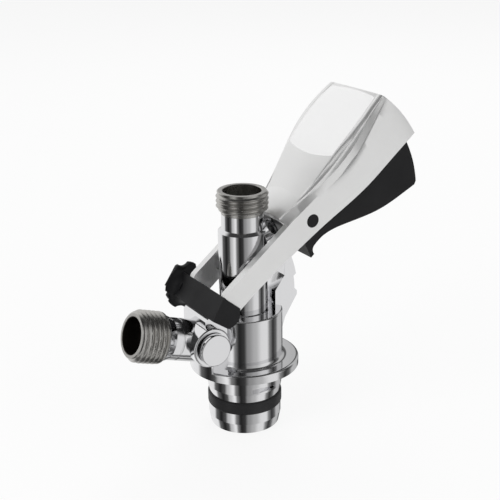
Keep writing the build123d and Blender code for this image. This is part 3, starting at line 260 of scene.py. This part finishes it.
tail.data.materials.append(bore_painted_shade)
centres = np.empty(len(tail.data.polygons) * 3)
tail.data.polygons.foreach_get("center", centres)
from_foot = centres.reshape(-1, 3) - GAS_FOOT
along = from_foot @ GAS_AHEAD
off_axis = np.linalg.norm(from_foot - along[:, None] * GAS_AHEAD, axis=1)
zone = (along > GAS_THREAD_FROM).astype(np.int32)           # slot 1, thread_metal
# Slot 2 holds the faces inside the bore, which take the painted shade.
zone[(off_axis < GAS_BORE_R) & (along > GAS_BORE_FROM)] = 2     # slot 2, bore_painted_shade
tail.data.polygons.foreach_set("material_index", zone)
dress(inlet_chrome, "inlet_washer")
dress(rubber, "inlet_valve")

# ---- Pins, rings and springs --------------------------------------------------------------
# Small stainless parts, bright from the tool: pressed pins, the rings that hold the valves, the
# plug in the probe's side, the latch blade and the two springs.

turned_steel = finish("turned_steel", (0.60, 0.60, 0.61), 1.0, (80.0, 0.16, 0.28), (rings, 3000.0, 0.15))
dress(turned_steel, "inlet_ring", "trunnion_pin_near", "trunnion_pin_far", "ball_retainer", "hinge_pin",
      "relief_stem", "relief_bush", "latch_blade", "side_plug", "relief_spring", "trigger_spring")

# ---- Relief valve -------------------------------------------------------------------------
# Turned pull cap, chrome plated like the body, screwed to a stem that lifts a rubber disc off
# its seat.

dress(body_chrome, "relief_cap")
dress(rubber, "relief_disc")

# ---- Probe --------------------------------------------------------------------------------
# Turned tube with two pressed trunnions, chrome plated.  A moulded rubber seal closes its tip,
# and a hard plastic ball inside is the check valve.

probe_chrome = finish("probe_chrome", (0.78, 0.78, 0.79), 1.0, (40.0, 0.05, 0.11), (rings, 2600.0, 0.08))
dress(probe_chrome, "probe_tube")
dress(rubber, "tip_seal")
ball_plastic = finish("ball_plastic", (0.70, 0.68, 0.62), 0.0, (90.0, 0.2, 0.3), (grain, 900.0, 0.05))
dress(ball_plastic, "check_ball")

# ---- Outlet nipple ------------------------------------------------------------------------
# Turned brass nipple, left satin, screwed into the top of the probe.  It carries the same rolled
# pipe thread as the inlet.

nipple = turned("outlet_nipple_threaded", [
    (7.2, 93.6, 0), (8.4, 93.6, 0), (8.4, 99.65, 0), (9.2, 99.65, 0), (9.25, 99.75, 0), (9.25, 100.9, 0),
    (10.2, 101.1, 0.1), (11.2, 101.8, 0.8), (11.45, 102.3, 1), (11.45, 108.4, 1), (11.2, 109.1, 0.7),
    (10.5, 109.7, 0), (8.7, 109.7, 0), (8.44, 109.5, 0), (8.44, 101.1, 0), (7.2, 99.86, 0)],
    np.zeros(3), np.array([0.0, 0.0, 1.0]))
attach(nipple, "probe", thread_metal, node="outlet_nipple")

# ---- Lever --------------------------------------------------------------------------------
# Die-cast fork lever, blasted and plated satin.  A parting groove runs along each shoulder, from
# the arm to the wide end, under a rounded lip.

HINGE = np.array([-17.6, 0.0, 61.4]) * MM
LEVER_TILT = math.radians(38.3)
ALONG = np.array([math.cos(LEVER_TILT), 0.0, math.sin(LEVER_TILT)])
UP = np.array([-math.sin(LEVER_TILT), 0.0, math.cos(LEVER_TILT)])
SIDE = np.array([0.0, 1.0, 0.0])


def lever_point(u, v, y):
    """Hinge plus u along the arms, v square up from them and y sideways, all in millimetres."""
    reach = np.multiply.outer(u, ALONG) + np.multiply.outer(v, UP) + np.multiply.outer(y, SIDE)
    return HINGE + reach * MM


WINDOW_STEPS = 15


def eased(at, known_at, known, width=7.0):
    """Straight lines through the known values, averaged over a sliding window of that width."""
    offsets = np.linspace(-0.5, 0.5, WINDOW_STEPS) * width
    weights = 0.5 + 0.5 * np.cos(2 * np.pi * offsets / width)
    return sum(w * np.interp(at + o, known_at, known) for w, o in zip(weights, offsets)) / weights.sum()


MERGE = 1e-6


def merged_copy(node, name, sharp, above=None):
    """Piece from a CAD node's mesh with its doubles merged, less what lies above that y."""
    mesh = nodes[node].data.copy()
    if mesh.has_custom_normals:
        mesh.attributes.remove(mesh.attributes["custom_normal"])
    work = bmesh.new()
    work.from_mesh(mesh)
    bmesh.ops.remove_doubles(work, verts=work.verts, dist=MERGE)
    if above is not None:
        bmesh.ops.delete(work, geom=[vert for vert in work.verts if vert.co.y > above], context="VERTS")
    work.to_mesh(mesh)
    mesh.materials.clear()
    return shaded(name, mesh, sharp)


def closed(piece, sharp):
    """The piece with its poles merged, its open ends filled and its faces turned outwards."""
    work = bmesh.new()
    work.from_mesh(piece.data)
    bmesh.ops.remove_doubles(work, verts=work.verts, dist=MERGE)
    bmesh.ops.holes_fill(work, edges=[edge for edge in work.edges if edge.is_boundary], sides=0)
    bmesh.ops.recalc_face_normals(work, faces=work.faces)
    work.to_mesh(piece.data)
    piece.data.set_sharp_from_angle(angle=sharp)
    return piece


def cut_away(piece, cutters, sharp):
    """Takes these closed cutters away from the piece's mesh, and deletes them."""
    for cutter in cutters:
        change = piece.modifiers.new("cut", "BOOLEAN")
        change.operation, change.solver, change.object = "DIFFERENCE", "EXACT", cutter
    bpy.context.view_layer.update()
    done = piece.evaluated_get(bpy.context.evaluated_depsgraph_get())
    piece_mesh = bpy.data.meshes.new_from_object(done)
    piece.modifiers.clear()
    piece.data = piece_mesh
    piece.data.materials.clear()
    piece.data.set_sharp_from_angle(angle=sharp)
    for cutter in cutters:
        bpy.data.objects.remove(cutter)


# The shoulder, along u: (half width, height) of the ridge, and of the foot of the wall below it.
SHOULDER_U = [45, 56, 66, 78, 90, 101, 110, 118]
RIDGE = ([11, 12.9, 16, 19.2, 21.1, 21, 19.8, 18.9],
         [10.1, 10.1, 11.1, 13.7, 16.4, 18.1, 18.8, 18.6])
FOOT = ([15.5, 15.5, 15.85, 16.6, 17.4, 18.2, 18.9, 18.9],
        [7, 7, 6.2, 4.4, 6.5, 11, 14.5, 16])
SHOULDER_WINDOW = 4.0
CAST_SHARP = 0.45

# The groove: height of its bottom edge, depth into the wall, and where the strip below runs out.
GROOVE_V = ([43, 47, 56, 66, 72, 78, 83.5, 89, 94, 99.5, 103.6, 115],
            [9.6, 9.2, 8.7, 8.5, 8.9, 9.3, 10.2, 11.5, 13.3, 15.1, 16.5, 19.2])
GROOVE_DEPTH = ([43, 46, 50, 56, 78, 90, 101, 109, 115],
                [0.0, 0.35, 0.7, 0.95, 1.0, 0.9, 0.6, 0.3, 0.0])
STRIP_V = ([43, 47, 52, 57, 63, 68, 75, 90, 103, 115],
           [7.2, 7.1, 6.8, 6.5, 6.3, 5.7, 4.9, 7.6, 13.0, 17.6])
STRIP_CLEAR = 0.04      # the cut starts this far outside the wall at the strip's lower edge
CUTTER_OUT = 4.0        # how far the cutter reaches out of the wall
CUTTER_RISE = (0.4, 3.4)    # its outer edges lie higher than the strip's and the groove's by this

u = np.arange(43.0, 115.1, 0.75)
ridge_y, ridge_v, foot_y, foot_v = (eased(u, SHOULDER_U, row, SHOULDER_WINDOW) for row in RIDGE + FOOT)


def wall_at(v):
    """Half width of the side wall at height v, straight between its foot and the ridge."""
    return foot_y + (ridge_y - foot_y) * (v - foot_v) / (ridge_v - foot_v)


groove_v, strip_v, groove_depth = (eased(u, *line) for line in (GROOVE_V, STRIP_V, GROOVE_DEPTH))
groove_y = wall_at(groove_v) - groove_depth
strip_y = np.where(strip_v < foot_v, foot_y, wall_at(strip_v)) + STRIP_CLEAR
outline = [(groove_y, groove_v), (strip_y, strip_v),
           (strip_y + CUTTER_OUT, strip_v + CUTTER_RISE[0]), (groove_y + CUTTER_OUT, groove_v + CUTTER_RISE[1])]
cutters = []
for hand in (1, -1):
    rows = np.stack([lever_point(u, v, hand * y) for y, v in outline], axis=1)
    cutter = grid_piece("groove_cutter", rows[:, ::hand], wrap_columns=True)
    cutters.append(closed(cutter, CAST_SHARP))
lever = merged_copy("lever", "lever_cast", CAST_SHARP)
cut_away(lever, cutters, CAST_SHARP)
lever_satin = finish("lever_satin", (0.88, 0.88, 0.875), 0.8, (30.0, 0.30, 0.38), (grain, 2200.0, 0.12))
attach(lever, "handle", lever_satin, node="lever")

# ---- Lever roof ---------------------------------------------------------------------------
# The wide end of the same casting: a raised, softly crowned roof that rounds off to the ridges
# and ends flush with the curved end wall.

ROOF_U = [55, 60, 66, 73, 79.8, 84, 91.7, 98.5, 105, 112.3, 118]
ROOF_EDGE = ([12.0, 13.2, 14.7, 16.0, 16.9, 17.5, 18.1, 18.2, 17.6, 16.3, 15.3],
             [9.9, 10.85, 12.2, 14.0, 15.6, 16.5, 17.7, 18.5, 19.15, 19.3, 18.9])
CROWN = 0.5             # rise of the roof from its edges to its middle
CROWN_SHARE = 0.8       # the share of the half grid that the crown takes; the slope takes the rest
SLOPE_BULGE = 0.3
RIDGE_INSET = (0.12, 0.05)  # the roof meets the ridge this far inside the casting
ROOF_FROM = 56.0
ROOF_STEPS = 96
ROOF_SHARP = 0.9
UNDER_STRIDE = 6        # the underside has every sixth point of the top
UNDER_SHARE = 0.97
UNDER_DROP = 1.0
PIVOT = (55.4, -0.8)    # the end wall is an arc about the trigger pin
END_R = 61.6
END_U = 113.4           # about where the roof meets the end wall


def roof(u, t):
    """Half width and height of the roof at u, for t from -1 to 1 across.

    Up to the crown's share it is a parabola, highest in the middle, between the two roof edges;
    beyond that it falls to the ridge along a line that bulges by 4 k (1 - k) times the bulge.
    """
    edge_y, edge_v = (eased(u, ROOF_U, row) for row in ROOF_EDGE)
    low_y, low_v = (eased(u, SHOULDER_U, row, SHOULDER_WINDOW) for row in RIDGE)
    k = np.clip((np.abs(t) - CROWN_SHARE) / (1.0 - CROWN_SHARE), 0.0, 1.0)
    inner = np.clip(np.abs(t) / CROWN_SHARE, 0.0, 1.0)
    y = inner * edge_y + k * (low_y - RIDGE_INSET[0] - edge_y)
    v = edge_v + CROWN * (1 - inner ** 2) + k * (low_v - RIDGE_INSET[1] - edge_v)
    return np.sign(t) * y, v + 4 * SLOPE_BULGE * k * (1 - k)


slope = np.linspace(CROWN_SHARE, 1.0, 13)[1:]
across = np.concatenate([-slope[::-1], np.linspace(-CROWN_SHARE, CROWN_SHARE, 41), slope])
end_v = roof(np.full(across.shape, END_U), across)[1]
end_u = PIVOT[0] + np.sqrt(END_R ** 2 - (end_v - PIVOT[1]) ** 2)
step = np.linspace(0.0, 1.0, ROOF_STEPS)[:, None]
top_u = ROOF_FROM + step * (end_u[None, :] - ROOF_FROM)
top_y, top_v = roof(top_u, np.broadcast_to(across, top_u.shape))
back_again = np.s_[:, ::-UNDER_STRIDE]
rows = lever_point(np.concatenate([top_u, top_u[back_again]], axis=1),
                   np.concatenate([top_v, top_v[back_again] - UNDER_DROP], axis=1),
                   np.concatenate([top_y, top_y[back_again] * UNDER_SHARE], axis=1))
cap = closed(grid_piece("lever_roof", rows, wrap_columns=True, sharp=ROOF_SHARP), ROOF_SHARP)
attach(cap, "handle", lever_satin)

# ---- Label --------------------------------------------------------------------------------
# A smooth lacquered field let into the roof and just proud of it, with a bowed front and rear
# edge.  It is left bare.

LABEL_SHARE = 0.775     # of the roof's half grid
LABEL_FRONT = (79.7, -2.6)  # u at the corners, and how much farther the middle is
LABEL_REAR = (111.6, 0.9)
LABEL_PROUD = 0.06
LABEL_SKIRT = 0.4       # its edges turn down into the roof by this

label_t = np.linspace(-LABEL_SHARE, LABEL_SHARE, 41)
label_t = np.concatenate([label_t[:1], label_t, label_t[-1:]])[None, :]
label_s = np.linspace(0.0, 1.0, 50)
label_s = np.concatenate([label_s[:1], label_s, label_s[-1:]])[:, None]
middle = 1 - (label_t / LABEL_SHARE) ** 2
front, rear = (corner + bow * middle for corner, bow in (LABEL_FRONT, LABEL_REAR))
label_u = front + label_s * (rear - front)
label_y, label_v = roof(label_u, np.broadcast_to(label_t, label_u.shape))
label_v = label_v + LABEL_PROUD
for edge in (np.s_[0, :], np.s_[-1, :], np.s_[:, 0], np.s_[:, -1]):
    label_v[edge] -= LABEL_SKIRT
label = grid_piece("label_plate", lever_point(label_u, label_v, label_y)[:, ::-1], sharp=ROOF_SHARP)
label_lacquer = finish("label_lacquer", (0.90, 0.90, 0.90), 0.1, (25.0, 0.18, 0.26), (grain, 400.0, 0.03),
                       coat=0.6)
attach(label, "handle", label_lacquer, node="label_inset")

# ---- Trigger grip, pin ends and bushes ----------------------------------------------------
# Matt black mouldings of glass-filled nylon: the grip that squeezes up into the lever, the ends
# of its pin and the bushes of the hinge.

black_plastic = finish("black_plastic", (0.007, 0.007, 0.008), 0.0, (70.0, 0.42, 0.55), (grain, 1800.0, 0.35))
black_plastic.node_tree.nodes["Principled BSDF"].inputs["Specular IOR Level"].default_value = 0.30
dress(black_plastic, "trigger_grip", "trigger_pin", "hinge_bush_near", "hinge_bush_far")

# ---- End clip -----------------------------------------------------------------------------
# Moulded black clip, snapped over the hinge end of the lever.  On the far side it carries a disc
# for the fingers, with six scallops and one flat.

DISC_FROM = 21.65 * MM  # the copy of the clip ends here, and the disc takes over
DISC_CENTRE = lever_point(1.1, 0.4, 0.0)
DISC_R = 10.3
DISC_STEPS = 360
FLAT_ANGLE = math.radians(146)
FLAT_AT = 8.75
FLAT_HALF = 1.2         # half the angle over which the flat is looked for
SCALLOPS = np.radians([0, 45, 93, 187, 262, 310])
SCALLOP_R = 3.4
SCALLOP_AT = 12.2       # from the disc's centre to the scallop's
SCALLOP_HALF = 0.5
FAR = 99.0
# The rim from the inner face to the outer: (inset from the edge, y, scale), with a pole at each end.
RIM = [(0.0, 21.6, 0), (-0.6, 21.6, 1), (-0.15, 21.7, 1), (0.0, 22.0, 1), (0.0, 24.0, 1), (-0.15, 24.35, 1),
       (-0.55, 24.5, 1), (-1.6, 24.5, 1), (-2.2, 24.2, 1), (0.0, 24.2, 0)]


def turned_from(angle, direction):
    """Angle from a direction, between minus pi and pi."""
    return np.angle(np.exp(1j * (angle - direction)))


clip = merged_copy("end_clip", "end_clip_shell", 0.5, above=DISC_FROM)
attach(clip, "handle", black_plastic, node="end_clip")

# The edge is the nearest of the circle, the flat, and the near side of each scallop's circle.
angle = np.linspace(0.0, 2 * np.pi, DISC_STEPS, endpoint=False)
off = turned_from(angle, FLAT_ANGLE)
flat_reach = FLAT_AT / np.cos(np.clip(off, -FLAT_HALF, FLAT_HALF))
reach = np.minimum(DISC_R, np.where(np.abs(off) < FLAT_HALF, flat_reach, FAR))
for scallop in SCALLOPS:
    off = turned_from(angle, scallop)
    inside = SCALLOP_R ** 2 - (SCALLOP_AT * np.sin(off)) ** 2
    bite = SCALLOP_AT * np.cos(off) - np.sqrt(np.maximum(inside, 0.0))
    reach = np.minimum(reach, np.where((inside > 0) & (np.abs(off) < SCALLOP_HALF), bite, FAR))
inset, rim_y, scale = (np.array(column)[:, None] for column in zip(*RIM))
r = (reach[None, :] + inset) * scale * MM
points = np.stack([DISC_CENTRE[0] + r * np.cos(angle), np.broadcast_to(rim_y * MM, r.shape),
                   DISC_CENTRE[2] + r * np.sin(angle)], axis=-1)
disc = closed(grid_piece("end_clip_disc", points, wrap_columns=True), 0.6)
attach(disc, "handle", black_plastic)

# ---- Floor --------------------------------------------------------------------------------
# A white sheet just under the neck.  The camera sees most of it at full white, the rest shows
# the object's shadow, and the plating doesn't mirror it.

FLOOR_GAP = 0.5 * MM
FLOOR_SIZE = 6.0
FLOOR_WHITE_SHARE = 0.86
bpy.ops.mesh.primitive_plane_add(size=FLOOR_SIZE, location=(0, 0, cad_low[2] - FLOOR_GAP))
floor = bpy.context.object
floor.name = "floor"
floor.visible_glossy = False
floor_mat = bpy.data.materials.new("floor_white")
floor_mat.use_nodes = True
tree = floor_mat.node_tree
made = add_nodes(tree, {
    "paths": ("ShaderNodeLightPath", {}),
    "white": ("ShaderNodeEmission", {"Strength": 1.0}),
    "share": ("ShaderNodeMath", {"operation": "MULTIPLY", 1: FLOOR_WHITE_SHARE}),
    "mix": ("ShaderNodeMixShader", {}),
})
shader = tree.nodes["Principled BSDF"]
shader.inputs["Base Color"].default_value = (0.85, 0.85, 0.85, 1)
shader.inputs["Roughness"].default_value = 0.9
join(tree,
     (made["paths"], "Is Camera Ray", made["share"], 0), (made["share"], 0, made["mix"], 0),
     (shader, 0, made["mix"], 1), (made["white"], 0, made["mix"], 2),
     (made["mix"], 0, tree.nodes["Material Output"], "Surface"))
floor.data.materials.append(floor_mat)

# ---- Camera -------------------------------------------------------------------------------
# It stands off on the gas and relief side, a little above the coupler.

CAMERA_AZIMUTH = math.radians(-121.357)
CAMERA_PITCH = math.radians(20.004)
CAMERA_ROLL = math.radians(-0.643)
CAMERA_PLACE = (-0.22104, -0.36878, 0.23871)


def placed(thing, right, top, back, place):
    """Puts a camera or lamp at a place, with its X, Y and Z axes along these directions."""
    thing.matrix_world = Matrix(list(zip((*right, 0), (*top, 0), (*back, 0), (*place, 1))))


level = np.array([math.cos(CAMERA_AZIMUTH), math.sin(CAMERA_AZIMUTH), 0.0])
side = np.array([-math.sin(CAMERA_AZIMUTH), math.cos(CAMERA_AZIMUTH), 0.0])
back = level * math.cos(CAMERA_PITCH) + np.array([0, 0, math.sin(CAMERA_PITCH)])
above = np.cross(back, side)
camera_data = bpy.data.cameras.new("camera")
camera_data.lens = 75.24
camera_data.sensor_width = 36.0
camera = bpy.data.objects.new("camera", camera_data)
bpy.context.collection.objects.link(camera)
placed(camera, side * math.cos(CAMERA_ROLL) + above * math.sin(CAMERA_ROLL),
       -side * math.sin(CAMERA_ROLL) + above * math.cos(CAMERA_ROLL), back, CAMERA_PLACE)
bpy.context.scene.camera = camera
bpy.context.scene.view_settings.view_transform = "Standard"

# ---- Room ---------------------------------------------------------------------------------
# The world is plain white to the camera and an even grey as light.  The plating mirrors a room of
# soft upright bands under a dark ceiling instead.

# (degrees round from the camera's side, level)
ROOM = [(-180, 0.60), (-152, 0.92), (-116, 0.90), (-102, 0.12), (-82, 0.02), (-66, 0.08), (-54, 0.60),
        (-36, 0.95), (-26, 0.20), (-14, 0.02), (0, 0.04), (12, 0.30), (34, 0.50), (56, 0.82), (72, 0.84),
        (84, 0.22), (96, 0.04), (108, 0.12), (122, 0.55), (146, 0.50), (158, 0.10), (170, 0.16), (180, 0.60)]
WALL_TOP = (0.86, 0.66)     # heights, as the sine of the elevation, where the ceiling ends and the wall starts


def grey(level):
    """Neutral colour of that level."""
    return (level, level, level, 1.0)


world = bpy.data.worlds.new("studio")
bpy.context.scene.world = world
world.use_nodes = True
tree = world.node_tree
made = add_nodes(tree, {
    "place": ("ShaderNodeTexCoord", {}),
    "turn": ("ShaderNodeMapping", {"Rotation": (0.0, 0.0, -CAMERA_AZIMUTH)}),
    "angle": ("ShaderNodeTexGradient", {"gradient_type": "RADIAL"}),
    "room": ("ShaderNodeValToRGB", {}),
    "split": ("ShaderNodeSeparateXYZ", {}),
    "wall": ("ShaderNodeMapRange", {"From Min": WALL_TOP[0], "From Max": WALL_TOP[1]}),
    "shade": ("ShaderNodeMix", {"data_type": "RGBA", 6: grey(0.05)}),
    "paths": ("ShaderNodeLightPath", {}),
    "mirror": ("ShaderNodeMix", {"data_type": "RGBA", 6: grey(0.55)}),
    "seen": ("ShaderNodeMath", {"operation": "MAXIMUM"}),
    "clear": ("ShaderNodeMix", {"data_type": "RGBA", 7: grey(1.0)}),
})
ramp = made["room"].color_ramp
ramp.interpolation = "EASE"
ramp.elements[0].color = grey(ROOM[0][1])
ramp.elements[-1].color = grey(ROOM[-1][1])
for degrees, level in ROOM[1:-1]:
    ramp.elements.new((degrees + 180) / 360).color = grey(level)
join(tree,
     (made["place"], "Generated", made["turn"], "Vector"), (made["turn"], "Vector", made["angle"], "Vector"),
     (made["angle"], "Fac", made["room"], "Fac"), (made["place"], "Generated", made["split"], "Vector"),
     (made["split"], "Z", made["wall"], "Value"), (made["wall"], "Result", made["shade"], 0),
     (made["room"], "Color", made["shade"], 7), (made["shade"], 2, made["mirror"], 7),
     (made["paths"], "Is Glossy Ray", made["mirror"], 0), (made["mirror"], 2, made["clear"], 6),
     (made["paths"], "Is Camera Ray", made["seen"], 0), (made["paths"], "Is Transmission Ray", made["seen"], 1),
     (made["seen"], 0, made["clear"], 0), (made["clear"], 2, tree.nodes["Background"], "Color"))

# ---- Lamps --------------------------------------------------------------------------------
# Three soft square lamps round the object.  They light it but don't show in the plating.

LAMP_TARGET = np.array([0.0, 0.0, 0.06])
# name, degrees round from the camera's side, distance, height, size, power
LAMPS = [("key", -50, 0.9, 0.75, 0.7, 5.0), ("fill", 60, 1.0, 0.5, 0.8, 2.5), ("back", 170, 0.9, 0.9, 0.6, 4.0)]
for name, degrees, distance, height, size, power in LAMPS:
    lamp_data = bpy.data.lights.new(name, "AREA")
    lamp_data.size = size
    lamp_data.energy = power
    lamp = bpy.data.objects.new(name, lamp_data)
    bpy.context.collection.objects.link(lamp)
    lamp.visible_glossy = False
    angle = CAMERA_AZIMUTH + math.radians(degrees)
    place = np.array([distance * math.cos(angle), distance * math.sin(angle), height])
    back = (place - LAMP_TARGET) / np.linalg.norm(place - LAMP_TARGET)
    level = np.cross([0, 0, 1.0], back)
    level /= np.linalg.norm(level)
    placed(lamp, level, np.cross(back, level), back, place)
